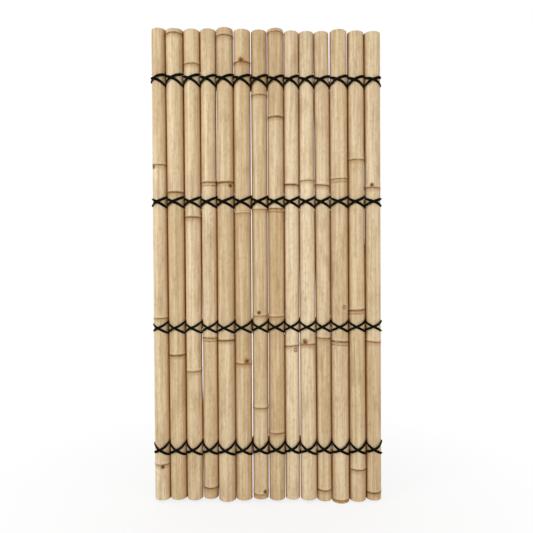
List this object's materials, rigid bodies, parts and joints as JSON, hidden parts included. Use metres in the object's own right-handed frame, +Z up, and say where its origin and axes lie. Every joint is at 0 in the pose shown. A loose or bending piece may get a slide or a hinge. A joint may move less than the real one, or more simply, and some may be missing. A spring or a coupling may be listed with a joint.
{
  "type": "bamboo fence panel",
  "caption": "Upright screen of round bamboo poles side by side, laced with black cord to split laths behind in rows.",
  "frame": {"origin": "on the ground under the middle of the panel", "axes": "+Z up along the poles, +X to the right across the poles seen from the front, -Y towards the viewer"},
  "size_m": [0.8952, 0.0926, 1.8184],
  "materials": {
    "bamboo_pole": "satin",
    "bamboo_lath": "matte",
    "black_cord": "braided"
  },
  "bodies": {
    "root": {"pole_01": "bamboo_pole", "pole_02": "bamboo_pole", "pole_03": "bamboo_pole", "pole_04": "bamboo_pole", "pole_05": "bamboo_pole", "pole_06": "bamboo_pole", "pole_07": "bamboo_pole", "pole_08": "bamboo_pole", "pole_09": "bamboo_pole", "pole_10": "bamboo_pole", "pole_11": "bamboo_pole", "pole_12": "bamboo_pole", "pole_13": "bamboo_pole", "pole_14": "bamboo_pole", "lath_top": "bamboo_lath", "lath_upper": "bamboo_lath", "lath_lower": "bamboo_lath", "lath_bottom": "bamboo_lath", "cord_top_under": "black_cord", "cord_top_over": "black_cord", "cord_upper_under": "black_cord", "cord_upper_over": "black_cord", "cord_lower_under": "black_cord", "cord_lower_over": "black_cord", "cord_bottom_under": "black_cord", "cord_bottom_over": "black_cord"}
  },
  "joints": []
}
